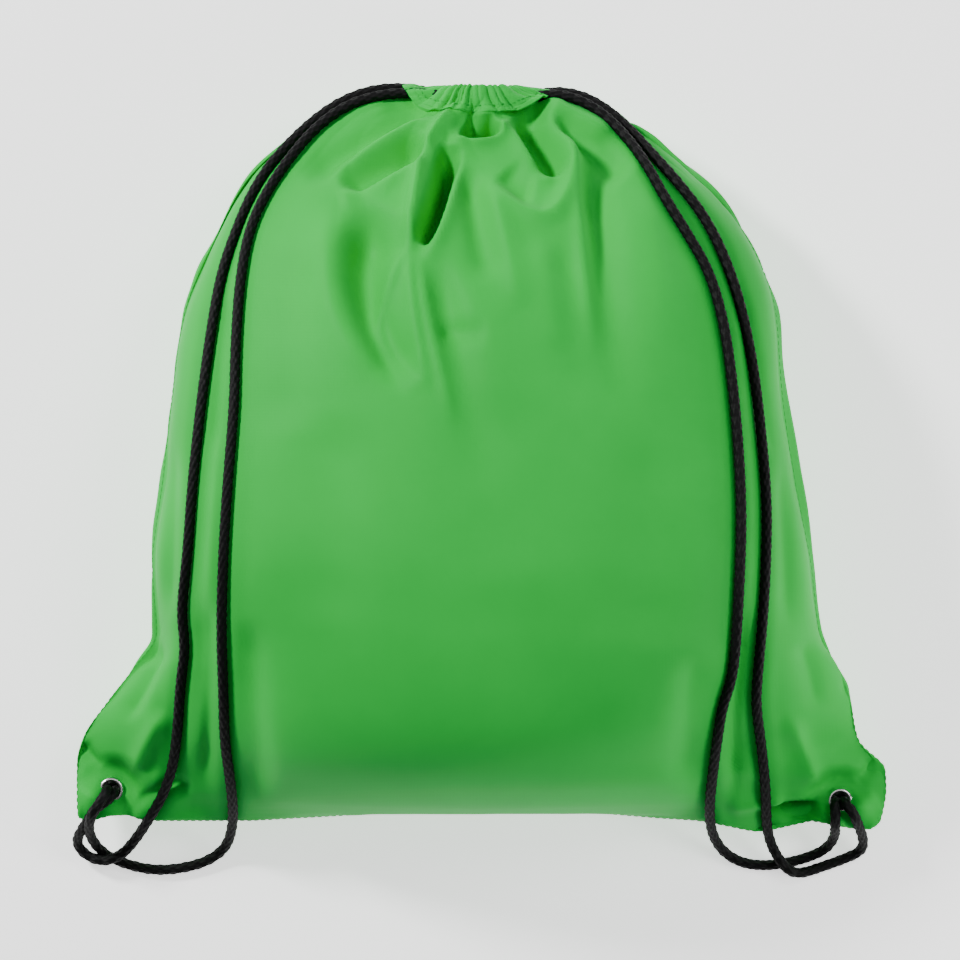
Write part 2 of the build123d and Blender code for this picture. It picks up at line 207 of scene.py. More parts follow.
def fabric_material(name, light, dark):
    """Plain woven polyester: a fine weave, faint unevenness of colour and a soft sheen."""
    m, nt, b = new_material(name)
    b.inputs["Roughness"].default_value = 0.6
    b.inputs["Specular IOR Level"].default_value = 0.1
    b.inputs["Sheen Weight"].default_value = 0.06
    b.inputs["Sheen Roughness"].default_value = 0.4
    b.inputs["Sheen Tint"].default_value = (0.65, 1.0, 0.62, 1)
    co = nt.nodes.new("ShaderNodeTexCoord")
    noise = nt.nodes.new("ShaderNodeTexNoise")
    noise.inputs["Scale"].default_value = 14.0
    noise.inputs["Detail"].default_value = 4.0
    ramp = nt.nodes.new("ShaderNodeValToRGB")
    ramp.color_ramp.elements[0].position, ramp.color_ramp.elements[1].position = 0.3, 0.7
    ramp.color_ramp.elements[0].color, ramp.color_ramp.elements[1].color = (*dark, 1), (*light, 1)
    nt.links.new(co.outputs["Object"], noise.inputs["Vector"])
    nt.links.new(noise.outputs["Fac"], ramp.inputs["Fac"])
    nt.links.new(ramp.outputs["Color"], b.inputs["Base Color"])
    waves = []
    for direction in ("X", "Y"):
        wave = nt.nodes.new("ShaderNodeTexWave")
        wave.bands_direction = direction
        wave.inputs["Scale"].default_value = 520.0
        wave.inputs["Distortion"].default_value = 0.6
        wave.inputs["Detail"].default_value = 1.0
        nt.links.new(co.outputs["Object"], wave.inputs["Vector"])
        waves.append(wave)
    weave = nt.nodes.new("ShaderNodeMath")
    weave.operation = "MULTIPLY"
    for wave, socket in zip(waves, weave.inputs):
        nt.links.new(wave.outputs["Fac"], socket)
    bump = nt.nodes.new("ShaderNodeBump")
    bump.inputs["Strength"].default_value = 0.12
    bump.inputs["Distance"].default_value = 0.0002
    nt.links.new(weave.outputs[0], bump.inputs["Height"])
    nt.links.new(bump.outputs["Normal"], b.inputs["Normal"])
    return m


def cord_material():
    m, nt, b = new_material("black_cord")
    b.inputs["Roughness"].default_value = 0.6
    b.inputs["Specular IOR Level"].default_value = 0.14
    co = nt.nodes.new("ShaderNodeTexCoord")
    noise = nt.nodes.new("ShaderNodeTexNoise")
    noise.inputs["Scale"].default_value = 900.0
    noise.inputs["Detail"].default_value = 3.0
    ramp = nt.nodes.new("ShaderNodeValToRGB")
    ramp.color_ramp.elements[0].color = (0.0008, 0.0008, 0.001, 1)
    ramp.color_ramp.elements[1].color = (0.004, 0.004, 0.0045, 1)
    nt.links.new(co.outputs["Object"], noise.inputs["Vector"])
    nt.links.new(noise.outputs["Fac"], ramp.inputs["Fac"])
    nt.links.new(ramp.outputs["Color"], b.inputs["Base Color"])
    bump = nt.nodes.new("ShaderNodeBump")
    bump.inputs["Strength"].default_value = 0.125
    bump.inputs["Distance"].default_value = 0.0003
    nt.links.new(noise.outputs["Fac"], bump.inputs["Height"])
    nt.links.new(bump.outputs["Normal"], b.inputs["Normal"])
    return m


def metal_material():
    m, nt, b = new_material("eyelet_metal")
    b.inputs["Metallic"].default_value = 1.0
    co = nt.nodes.new("ShaderNodeTexCoord")
    noise = nt.nodes.new("ShaderNodeTexNoise")
    noise.inputs["Scale"].default_value = 300.0
    ramp = nt.nodes.new("ShaderNodeValToRGB")
    ramp.color_ramp.elements[0].color = (0.66, 0.67, 0.68, 1)
    ramp.color_ramp.elements[1].color = (0.84, 0.84, 0.83, 1)
    rough = nt.nodes.new("ShaderNodeMapRange")
    rough.inputs["To Min"].default_value, rough.inputs["To Max"].default_value = 0.16, 0.32
    nt.links.new(co.outputs["Object"], noise.inputs["Vector"])
    nt.links.new(noise.outputs["Fac"], ramp.inputs["Fac"])
    nt.links.new(noise.outputs["Fac"], rough.inputs["Value"])
    nt.links.new(ramp.outputs["Color"], b.inputs["Base Color"])
    nt.links.new(rough.outputs["Result"], b.inputs["Roughness"])
    return m


GREEN = fabric_material("green_fabric", (0.004, 0.47, 0.046), (0.001, 0.41, 0.038))
THREAD = fabric_material("green_thread", (0.003, 0.36, 0.036), (0.001, 0.30, 0.030))
CORD = cord_material()
METAL = metal_material()

# ---------------------------------------------------------------- the bag's shape (millimetres)
# Closed rows from the bottom seam to the mouth. Columns: left tip x, y; right tip x, y; tip z;
# front middle y, z; back middle y, z; fullness of the front; fullness of the back
ROWS = np.array([
    (-172.0, -153.0, 169.0, -155.5, 20.0, -150.0, 17.0, -150.0, 16.0, 1.6, 1.4),
    (-172.8, -147.0, 171.2, -149.0, 20.0, -151.0, 31.0, -150.5, 9.0, 2.1, 1.7),
    (-172.9, -139.0, 172.6, -141.0, 20.0, -148.0, 52.0, -147.0, 4.0, 1.9, 1.5),
    (-172.8, -129.0, 172.2, -132.0, 20.0, -140.0, 74.0, -140.0, 1.0, 1.55, 1.2),
    (-169.2, -117.0, 160.5, -119.0, 21.5, -128.0, 92.0, -129.0, 0.3, 1.20, 0.9),
    (-159.5, -103.0, 157.2, -104.0, 26.0, -112.0, 105.0, -113.0, 0.2, 0.92, 0.7),
    (-147.8, -88.0, 151.8, -89.0, 32.0, -92.0, 113.0, -95.0, 0.2, 0.74, 0.6),
    (-138.2, -72.5, 143.2, -73.0, 39.0, -70.0, 118.0, -73.0, 0.2, 0.60, 0.52),
    (-139.9, -45.0, 139.6, -45.0, 46.0, -40.0, 120.5, -42.0, 0.2, 0.52, 0.45),
    (-135.5, -10.0, 132.8, -10.0, 50.0, -5.0, 119.0, -5.0, 0.2, 0.50, 0.42),
    (-131.0, 30.0, 127.0, 30.0, 50.0, 32.0, 114.0, 32.0, 0.2, 0.50, 0.42),
    (-126.2, 62.0, 124.6, 62.0, 47.0, 60.0, 106.0, 62.0, 0.2, 0.50, 0.42),
    (-114.0, 92.0, 114.4, 91.5, 42.0, 88.0, 93.0, 92.0, 0.4, 0.50, 0.45),
    (-102.0, 115.5, 96.0, 115.0, 37.0, 109.0, 79.5, 114.0, 1.5, 0.50, 0.48),
    (-84.5, 133.5, 76.0, 132.5, 34.5, 124.5, 67.0, 130.0, 4.0, 0.52, 0.5),
    (-67.5, 146.5, 59.0, 145.0, 33.0, 135.0, 59.0, 140.0, 6.5, 0.54, 0.52),
    (-49.0, 154.0, 44.5, 153.0, 32.0, 142.5, 54.5, 145.0, 8.5, 0.54, 0.52),
    (-38.0, 156.4, 34.0, 155.8, 31.5, 145.8, 52.0, 148.0, 10.0, 0.53, 0.5),
    (-30.5, 157.0, 27.5, 156.8, 31.0, 148.6, 51.0, 150.0, 11.0, 0.52, 0.50),
    (-26.0, 157.5, 23.4, 157.5, 31.0, 151.2, 50.2, 152.0, 11.2, 0.50, 0.50),
    (-23.0, 158.0, 20.6, 158.0, 31.0, 154.0, 49.6, 154.5, 11.4, 0.50, 0.50),
    (-20.6, 158.6, 18.4, 158.6, 31.0, 156.9, 48.8, 157.0, 12.6, 0.50, 0.50),
    (-16.8, 159.0, 14.8, 159.0, 31.0, 159.0, 48.0, 158.6, 14.0, 0.50, 0.50),
    (-15.2, 156.5, 13.2, 156.5, 31.0, 157.0, 45.6, 157.0, 16.6, 0.50, 0.50),
    (-14.2, 148.0, 12.4, 148.0, 31.0, 149.0, 44.2, 149.0, 17.8, 0.50, 0.50),
    (-14.0, 138.0, 12.2, 138.0, 31.0, 138.0, 44.0, 138.0, 18.0, 0.50, 0.50),
])
HEM_ROW, HEM_STITCH_ROW, SLOT_ROW = 18.0, 18.6, 17.6
SEAM_ROWS = (0.4, 17)                    # the side seam stitches run between these rows
BOTTOM_EDGE = np.array([(-172, -153), (-167, -154), (-154, -150.5), (-144.5, -154), (-98, -154), (-62, -152),
                        (-25, -150), (-1, -149.4), (8, -147.8), (25, -148.2), (52, -151), (76, -153),
                        (92, -154), (104, -156.2), (114, -158.3), (118, -158.8), (126, -157.5), (141, -154),
                        (159, -157.5), (166, -157.8), (169, -155.5)], float)


def smooth_columns(table, t):
    """Monotone cubic through the rows' values, so that no column overshoots."""
    n = len(table)
    d = np.diff(table, axis=0)
    m = np.zeros_like(table)
    below, above = d[:-1], d[1:]
    total = np.where(below + above == 0, 1, below + above)
    m[1:-1] = np.where(below * above > 0, 2 * below * above / total, 0)
    m[0], m[-1] = d[0], d[-1]
    i = np.clip(t.astype(int), 0, n - 2)
    f = (t - i)[:, None]
    h00, h10 = 2 * f ** 3 - 3 * f ** 2 + 1, f ** 3 - 2 * f ** 2 + f
    h01, h11 = -2 * f ** 3 + 3 * f ** 2, f ** 3 - f ** 2
    return h00 * table[i] + h10 * m[i] + h01 * table[i + 1] + h11 * m[i + 1]


def row_values():
    """Row numbers with steps between them, finest near the mouth where the pleats are."""
    steps = []
    for a in range(len(ROWS) - 1):
        n = 14 if 13 <= a <= 21 else (11 if a < 9 else 12)
        n = 8 if a > 22 else n
        steps.append(a + np.arange(n) / n)
    return np.r_[np.concatenate(steps), len(ROWS) - 1.0]


T = row_values()
V = smooth_columns(ROWS, T)
HALF_COLS = 230
THETA = np.linspace(0, math.pi, HALF_COLS + 1)


def half_surface(front):
    """Rows by columns of points; columns run from the right tip over the middle to the left tip."""
    xl, yl, xr, yr, zt, yf, zf, yb, zb, qf, qb = [V[:, k][:, None] for k in range(11)]
    u, s = np.cos(THETA)[None, :], np.sin(THETA)[None, :]
    x = (xl + xr) / 2 + (xr - xl) / 2 * u
    side_y = yl + (yr - yl) * (u + 1) / 2
    mid_y, mid_z, q = (yf, zf, qf) if front else (yb, zb, qb)
    y = side_y + (mid_y - side_y) * s ** (1.2 + 0.8 * np.clip(q - 0.5, 0, 1))
    z = zt + (mid_z - zt) * s ** (2 * q)
    ply = 0.5 * np.clip(1 - np.abs(u) ** 10, 0, 1) ** 0.5 * (1 if front else -1)
    z = z + ply * (T < HEM_ROW)[:, None]
    near_bottom = np.clip(1 - T / 1.6, 0, 1)[:, None] ** 2
    edge_y = np.interp(x, BOTTOM_EDGE[:, 0], BOTTOM_EDGE[:, 1])
    y = y + (edge_y - V[0, 5] * s ** 2 - side_y * (1 - s ** 2)) * near_bottom
    return np.stack([x, y, z], -1)


def normals_of(grid):
    du, dv = np.gradient(grid, axis=1), np.gradient(grid, axis=0)
    n = np.cross(du, dv)
    length = np.linalg.norm(n, axis=-1, keepdims=True)
    return n / np.where(length < 1e-9, 1, length)


def outward_normals(grid, front):
    """Normals that point out of the bag: up from its front, down from its back."""
    n = normals_of(grid)
    points_up = bool(n[len(T) // 2, HALF_COLS // 2, 2] > 0)
    return n if points_up == front else -n


def crease(xy, points, width, depth, skew=1.0, crisp=2.0):
    """Height of a fold along a line.

    Its right-hand side is skew times as wide, and a low crisp gives a sharp top.
    """
    pts = np.asarray(points, float)
    seg = np.diff(pts, axis=0)
    length = np.linalg.norm(seg, axis=1)
    start = np.r_[0, np.cumsum(length)][:-1]
    best = np.full(xy.shape[:-1], 1e9)
    along = np.zeros_like(best)
    sign = np.ones_like(best)
    for p, d, l, s0 in zip(pts, seg, length, start):
        r = xy - p
        k = np.clip((r @ d) / l ** 2, 0, 1)
        dist = np.linalg.norm(r - k[..., None] * d, axis=-1)
        take = dist < best
        best = np.where(take, dist, best)
        along = np.where(take, s0 + k * l, along)
        sign = np.where(take, np.sign(d[0] * r[..., 1] - d[1] * r[..., 0]), sign)
    f = along / length.sum()
    w = (width[0] + (width[1] - width[0]) * f) * np.where(sign < 0, skew, 1.0)
    fade = np.clip(np.minimum(f + 0.04, 1.04 - f) / 0.26, 0, 1)
    height = depth[0] + (depth[1] - depth[0]) * f
    return height * np.exp(-(best / w) ** crisp) * fade * fade * (3 - 2 * fade)


def rounded(points, cuts=2):
    """Cuts the corners of a line, so that a fold bends smoothly."""
    pts = np.asarray(points, float)
    for _ in range(cuts):
        q = 0.75 * pts[:-1] + 0.25 * pts[1:]
        r = 0.25 * pts[:-1] + 0.75 * pts[1:]
        pts = np.vstack([pts[:1], np.stack([q, r], 1).reshape(-1, 2), pts[-1:]])
    return pts


# Folds of the front: line, width at both ends, height at both ends (negative is a valley), skew, crispness
FRONT_FOLDS = [
    # the long tongue left of the middle, its slot and the pair of creases that run on below it
    ([(-9, 152), (-18, 141), (-24, 132), (-28, 116), (-30.5, 98), (-31, 86)],
     (3.5, 4.0), (5.6, 6.9), 0.6, 1.5),
    ([(-13, 133), (-16.5, 120), (-20, 106), (-26, 90)], (4.4, 3.6), (-25, -16.2), 0.8, 2.8),
    ([(-13, 136), (-12.5, 123), (-14, 108), (-19, 92), (-25, 84)], (3.6, 3.6), (5.6, 4.4), 1.0, 1.5),
    ([(-31, 88), (-29.5, 68), (-26, 44), (-23, 30)], (2.2, 2.6), (2.8, 2.0), 1.0, 1.4),
    ([(-26, 84), (-23.5, 64), (-18, 41), (-12, 14)], (2.2, 3.4), (3.6, 2.4), 0.8, 1.4),
    ([(-20, 86), (-15, 62), (-9, 38), (-2, 10), (5, -14)], (6, 10), (-6, -1.2), 1.0, 2.0),
    # the flap under the mouth and the dark gaps behind it
    ([(-14.5, 134), (-7.5, 135), (-1, 134.2), (5, 137.5), (12, 143.5)], (3.2, 2.8), (5.2, 6), 1.0, 1.5),
    ([(-8, 142), (-3, 139.5), (3, 140), (7, 143)], (4.2, 3.4), (-24, -20), 1.0, 2.6),
    ([(12, 144), (14.5, 138), (18.5, 130), (24, 123), (31, 116)], (2.6, 3.2), (5, 2.2), 1.2, 1.5),
    ([(16, 147), (22, 138), (28, 129), (31, 119)], (5.6, 5.6), (-15, -11.2), 1.0, 2.3),
    ([(24, 150), (31, 141), (36.5, 131), (38, 119), (34, 107), (27, 101), (18, 103.5), (9, 112), (1, 119)],
     (3.0, 4.0), (5.8, 3), 1.0, 1.6),
    ([(22, 113), (16, 114), (9, 122)], (6, 6), (-4.4, -3.1), 1.0, 2.0),
    ([(-6, 124), (-3, 108), (-1, 92), (4, 74)], (5, 7), (-5.8, -3.2), 1.0, 2.0),
    ([(2, 118), (7, 104), (12, 84), (17, 62)], (4.5, 8), (3.8, 2), 0.8, 1.6),
    ([(-20, 55), (-8, 54), (3, 53)], (4, 5), (-2, -1.5), 1.0, 2.0),
    # left of the tongue
    ([(-19, 151), (-28, 148), (-44, 141), (-60, 132), (-76, 118)], (3.6, 6.5), (-8.5, -6), 1.0, 1.9),
    ([(-20, 155.5), (-30, 155), (-43, 151), (-60, 145)], (3.0, 4.0), (3, 2.5), 1.0, 1.5),
    ([(-20, 145), (-33, 140), (-50, 131), (-66, 120)], (3.0, 4.5), (5.5, 3.5), 1.0, 1.5),
    ([(-23, 134), (-32, 130), (-43, 125), (-60, 115)], (5.5, 7.5), (-11.9, -8.1), 1.0, 2.1),
    ([(-25, 126), (-34, 121), (-48, 115), (-62, 112)], (3.0, 4.0), (5.8, 3), 1.0, 1.5),
    ([(-42, 108), (-50, 92), (-51, 76), (-47, 58), (-38, 40), (-28, 30)], (14, 8), (-15, -7.5), 0.62, 2.0),
    ([(-60, 106), (-65, 90), (-64, 70), (-57, 52), (-44, 36)], (8, 7), (3.2, 2), 1.0, 1.8),
    ([(-31, 92), (-38, 79), (-45.5, 60), (-43, 51), (-34, 34), (-25, 30)], (3.2, 3.2), (4.2, 2.5), 1.0, 1.4),
    # right of the mouth
    ([(22, 153), (36, 147), (50, 140), (62, 130), (68, 120)], (3.4, 4.5), (4.5, 3.8), 1.0, 1.5),
    ([(30, 146), (42, 137), (52, 129), (62, 120)], (5.0, 6.5), (-6.9, -6.2), 1.0, 2.0),
    ([(33, 144), (38, 134), (40, 122), (41, 104), (43, 80), (47, 44)], (3.6, 6), (5.5, 2.6), 0.7, 1.5),
    ([(44, 132), (49.5, 104), (52, 76), (56, 44), (60, 14)], (7.5, 10), (-11, -1.5), 1.0, 2.0),
    ([(66, 116), (72, 96), (75, 70), (76, 40)], (6, 11), (2.5, 1.2), 1.0, 1.8),
    ([(32, 96), (38, 74), (41, 48), (43, 20)], (6, 10), (-3, -1.2), 1.0, 2.0),
    ([(24, 94), (28, 70), (31, 44)], (5, 9), (2.2, 1.2), 1.0, 1.8),
    # broad, low hollows of the belly
    ([(-80, 90), (-84, 50), (-82, 10)], (10, 14), (-2.5, -1.5), 1.0, 2.0),
    ([(-60, 20), (-66, -20), (-64, -70)], (14, 18), (-1.8, -1.5), 1.0, 2.0),
    ([(66, 10), (72, -30), (68, -80)], (14, 18), (-1.8, -1.5), 1.0, 2.0),
    ([(10, 30), (6, -10), (14, -50)], (16, 20), (-1.5, -1), 1.0, 2.0),
    # beside the strands
    ([(-116, -56), (-118, -90), (-118, -118), (-120, -142)], (5, 6), (-3.2, -5), 0.8, 1.7),
    ([(-98, -66), (-98, -100), (-96, -128), (-95, -148)], (6, 7), (-3, -4.2), 1.0, 1.8),
    ([(112, -60), (110, -94), (108, -120), (109, -148)], (5, 6), (-3.5, -5), 0.8, 1.7),
    ([(91, -80), (88, -110), (87, -142)], (7, 7), (-2.8, -3.8), 1.0, 1.8),
    ([(108, 72), (118, 40), (124, 0)], (4, 5), (-2.8, -2.2), 1.0, 1.6),
    ([(-108, 70), (-111, 36), (-115, 0)], (3.5, 4.5), (-2.2, -2), 1.0, 1.6),
    ([(-131, 10), (-132, -30), (-134, -70)], (4, 5), (-2, -2.8), 1.0, 1.7),
    ([(127, 0), (129, -36), (130, -72)], (4, 5), (-2, -2.8), 1.0, 1.7),
    # the ears
    ([(-152, -112), (-144, -96), (-137, -76)], (4.5, 6), (-2, -4.5), 0.7, 1.6),
    ([(-151, -138), (-143, -122), (-133, -106)], (4.5, 5), (4.2, 3), 0.8, 1.5),
    ([(-171.5, -121), (-167, -127), (-162, -132)], (3.0, 2.6), (-3, -2.4), 1.0, 1.5),
    ([(-150, -147), (-138, -142), (-124, -138)], (3.5, 5), (-4, -3), 0.8, 1.6),
    ([(-169, -146), (-162, -149.5), (-150, -150)], (2.6, 2.8), (1.8, 1.8), 1.0, 1.5),
    ([(143, -106), (141, -92), (138, -76)], (4.5, 6), (-1.5, -3.5), 0.7, 1.6),
    ([(143, -140), (137, -126), (130, -108)], (4.5, 5), (4, 3), 0.8, 1.5),
    ([(168, -128), (164, -134), (159, -138)], (3.0, 2.6), (-2.6, -2), 1.0, 1.5),
    ([(149, -150), (136, -149.5), (118, -151)], (3.6, 3.6), (-10, -6), 0.8, 2.0),
    ([(130, -145), (118, -145), (104, -149)], (4.5, 5), (3.2, 2.5), 0.8, 1.5),
]


def soft_noise(shape_rows, shape_cols, cells_r, cells_c, rng):
    """Smooth random heights on a grid, from a coarse grid of random values."""
    coarse = rng.standard_normal((cells_r + 3, cells_c + 3))
    r = np.linspace(0, cells_r, shape_rows)
    c = np.linspace(0, cells_c, shape_cols)

    def weights(v):
        i = np.floor(v).astype(int)
        f = v - i
        return i, np.stack([(1 - f) ** 3 / 6, (3 * f ** 3 - 6 * f ** 2 + 4) / 6,
                            (-3 * f ** 3 + 3 * f ** 2 + 3 * f + 1) / 6, f ** 3 / 6], 1)
    ir, wr = weights(r)
    ic, wc = weights(c)
    rows = sum(wr[:, k][:, None] * coarse[np.clip(ir + k, 0, cells_r + 2)] for k in range(4))
    return sum(wc[:, k][None, :] * rows[:, np.clip(ic + k, 0, cells_c + 2)] for k in range(4))


def bell(t, lo, peak, hi):
    """0 at lo and hi, 1 at peak."""
    up = np.clip((t - lo) / (peak - lo), 0, 1)
    down = np.clip((hi - t) / (hi - peak), 0, 1)
    v = np.minimum(up, down)
    return v * v * (3 - 2 * v)


def pleats(front, rng):
    """Gathers that run out from the mouth, with rounded backs and sharp valleys.

    They are fine in the hem and wider further down.
    """
    turn = THETA if front else THETA + math.pi
    angle = turn + 0.10 * np.sin(3 * turn + rng.uniform(0, 6.3))
    angle = angle + 0.045 * np.sin(8 * turn + rng.uniform(0, 6.3))
    out = np.zeros((len(T), len(THETA)))
    for count, height, lo, peak, hi in ((33, 2.4, 16.4, 19.6, 25.0), (19, 2.8, 14.8, 18.6, 23.5),
                                        (11, 2.8, 12.6, 16.4, 22.0), (7, 1.8, 10.5, 14.2, 18.4)):
        size = 0.65 + 0.35 * np.sin(5 * turn + rng.uniform(0, 6.3))
        drift = 0.5 * np.sin(0.8 * T + rng.uniform(0, 6.3))[:, None]
        wave = np.abs(np.sin((count * angle + rng.uniform(0, 6.3))[None, :] / 2 + drift)) ** 0.6 - 0.55
        out += height * bell(T, lo, peak, hi)[:, None] * size[None, :] * wave
    return out


def build_half(front):
    """The front or the back cloth: a plain surface, moved along its normals by pleats, folds and crumples."""
    rng = np.random.default_rng(11 if front else 12)
    grid = half_surface(front)
    out = outward_normals(grid, front)
    d = pleats(front, rng)
    if front:
        shade = np.clip((HEM_ROW + 2.0 - T) / 2.0, 0, 1)[:, None]
        for line, width, depth, skew, crisp in FRONT_FOLDS:
            d = d + crease(grid[..., :2], rounded(line), width, depth, skew, crisp) * shade
    else:
        spread = np.clip((T - 1) / 3, 0, 1)[:, None] * np.clip((18 - T) / 3, 0, 1)[:, None]
        d = d * 0.9 + spread * (3.0 * np.abs(soft_noise(len(T), len(THETA), 34, 22, rng)) ** 0.8
                                + 1.6 * soft_noise(len(T), len(THETA), 12, 12, rng))
    d = d + 0.45 * bell(T, 0.5, 8, 17)[:, None] * soft_noise(len(T), len(THETA), 22, 14, rng)
    side = np.minimum(THETA, math.pi - THETA)[None, :]
    pucker = np.exp(-(side / 0.16) ** 2) * np.clip(T / 2, 0, 1)[:, None]
    pucker = pucker * np.clip((17 - T) / 2, 0, 1)[:, None]
    d = d + pucker * (0.5 * soft_noise(len(T), len(THETA), 90, 5, rng) - 0.4)
    low = np.exp(-(T / 0.9) ** 2)[:, None]
    d = d + low * 0.5 * soft_noise(len(T), len(THETA), 3, 60, rng)
    hold = np.clip(side / 0.05, 0, 1) * np.clip(T / 0.35, 0, 1)[:, None]
    grid = grid + out * (d * hold)[..., None]
    if not front:
        grid[..., 2] = np.maximum(grid[..., 2], 0.25)
    return grid


def flatten_ears(grid, front):
    """The plies lie flat and pressed together under each eyelet."""
    for x, y in (LEFT_EYE, RIGHT_EYE):
        r = np.hypot(grid[..., 0] - x, grid[..., 1] - y)
        w = np.clip((17 - r) / 9, 0, 1)
        w = (w * w * (3 - 2 * w)) * (np.abs(grid[..., 2] - EYE_HEIGHT) < 25)
        level = EYE_HEIGHT + (0.55 if front else -0.55)
        grid[..., 2] = grid[..., 2] + (level - grid[..., 2]) * w
    return grid


def meet_cords(grid):
    """Lets the front rise or sink a little so that every strand lies on it, in a shallow groove."""
    rows, cols = grid.shape[:2]
    flat = grid.reshape(-1, 3)
    quads = grid_faces(rows, cols, False)
    tree = BVHTree.FromPolygons([tuple(v) for v in flat], [tuple(int(i) for i in q) for q in quads])
    found = []
    for line in LINES.values():
        pts, _ = resample(line, 2.0)
        for p in pts[6:]:
            hit = tree.ray_cast(Vector((p[0], p[1], 300)), Vector((0, 0, -1)))
            if hit[0] is None:
                continue
            steep = max(abs(hit[1].z), 0.45)
            gap = p[2] - CORD_R / steep - 0.1 - hit[0].z
            if abs(gap) < 14:
                found.append((p[0], p[1], gap))
    found = np.array(found)
    kd = KDTree(len(found))
    for i, (x, y, _) in enumerate(found):
        kd.insert((x, y, 0), i)
    kd.balance()
    low, high = found[:, :2].min(0) - 30, found[:, :2].max(0) + 30
    near = np.where(((flat[:, :2] > low) & (flat[:, :2] < high)).all(1) & (np.repeat(T, cols) < 17.5))[0]
    for i in near:
        x, y, z = flat[i]
        total, weight, close = 0.0, 0.0, 1e9
        for _, k, dist in kd.find_range((x, y, 0), 26):
            w = math.exp(-(dist / 4.0) ** 2) + 1e-4 * math.exp(-(dist / 12.0) ** 2)
            total += w * found[k, 2]
            weight += w
            close = min(close, dist)
        if weight > 0:
            amount = math.exp(-(close / 11.0) ** 2)
            groove = 0.7 * math.exp(-(close / 2.6) ** 2)
            lip = 0.5 * math.exp(-((close - 5.5) / 2.6) ** 2)
            flat[i, 2] = z + total / weight * amount - groove + lip
    return flat.reshape(rows, cols, 3)


front_grid = meet_cords(flatten_ears(build_half(True), True))
back_grid = flatten_ears(build_half(False), False)
seam = (front_grid[:, [0, -1]] + back_grid[:, [0, -1]]) / 2
front_grid[:, [0, -1]] = back_grid[:, [0, -1]] = seam
front_grid[0] = back_grid[0] = (front_grid[0] + back_grid[0]) / 2


def panel(name, grid, flip):
    """The cloth as a mesh, with a hole for each eyelet."""
    rows, cols = grid.shape[:2]
    faces = grid_faces(rows, cols, False, flip)
    flat = grid.reshape(-1, 3)
    centres = flat[faces].mean(1)
    keep = np.ones(len(faces), bool)
    for x, y in (LEFT_EYE, RIGHT_EYE):
        keep &= np.hypot(centres[:, 0] - x, centres[:, 1] - y) > CLOTH_HOLE_R
    return mesh_object(name, flat, faces[keep], GREEN)


front = panel("front_panel_cloth", front_grid, False)
back = panel("back_panel_cloth", back_grid, True)
for obj, nodes in ((front, ("front_panel", "front_channel")), (back, ("back_panel", "back_channel"))):
    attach(obj, "bag")
    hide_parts(*nodes)


# ---------------------------------------------------------------- cords
def squeezed(total):
    """The radius of a strand, smaller over its last millimetres, where it goes through its eyelet."""
    def radius(s):
        return CORD_R - 0.42 * np.clip((s - (total - 7)) / 5, 0, 1)
    return radius


EXITS = {}
for name, line in LINES.items():
    total = resample(line, 0.5)[1][-1]
    tube, pts = braided_tube(name + "_cord", line, CORD, squeezed(total))
    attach(tube, "bag")
    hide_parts(name + "_strand")
    EXITS[name] = (tube, pts, total)


def lathe(name, profile, place, material, around=64):
    """A profile of radii and heights, turned about the vertical through place."""
    profile = np.asarray(profile, float)
    phi = np.linspace(0, 2 * math.pi, around, endpoint=False)
    verts = np.stack([profile[:, 0][:, None] * np.cos(phi), profile[:, 0][:, None] * np.sin(phi),
                      np.repeat(profile[:, 1][:, None], around, 1)], -1) + np.array([*place, 0.0])
    faces = grid_faces(len(profile), around, True)
    return mesh_object(name, verts.reshape(-1, 3), faces, material)


def eyelet(side, place):
    """One smooth skin of flange, barrel and rolled end, and the washer above the roll."""
    outer, inner, roll = 5.3, 3.5, 4.7
    top = [(outer, 20.5), (outer + 0.02, 20.85)]
    for a in np.linspace(0, math.pi, 13):
        top.append(((outer + inner) / 2 + (outer - inner) / 2 * math.cos(a), 20.9 + 0.85 * math.sin(a)))
    barrel = [(inner, 20.4), (inner, 19.2), (inner + 0.05, 18.4)]
    for a in np.linspace(0, math.pi, 9):
        barrel.append(((inner + roll) / 2 - (roll - inner) / 2 * math.cos(a), 18.3 - 0.4 * math.sin(a)))
    obj = lathe(side + "_eyelet_ring", top + barrel, place, METAL)
    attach(obj, "bag")
    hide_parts(side + "_eyelet")
    section = [(3.9, 19.3), (5.1, 19.25), (5.3, 19.0), (5.3, 18.8), (5.1, 18.6), (4.4, 18.5)]
    washer = lathe(side + "_washer_ring", section, place, METAL)
    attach(washer, "bag")
    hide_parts(side + "_eyelet_washer")


def knot_line(place):
    """An overhand knot drawn as a trefoil, flattened against the washer."""
    spread, rise, height = 1.22, 2.1, 12.9
    t = np.linspace(0, 2 * math.pi, 60, endpoint=False)
    x = (np.sin(t) + 2 * np.sin(2 * t)) * spread
    y = (np.cos(t) - 2 * np.cos(2 * t)) * spread
    z = -np.sin(3 * t) * rise
    return np.stack([x + place[0], y + place[1], z + height], 1)


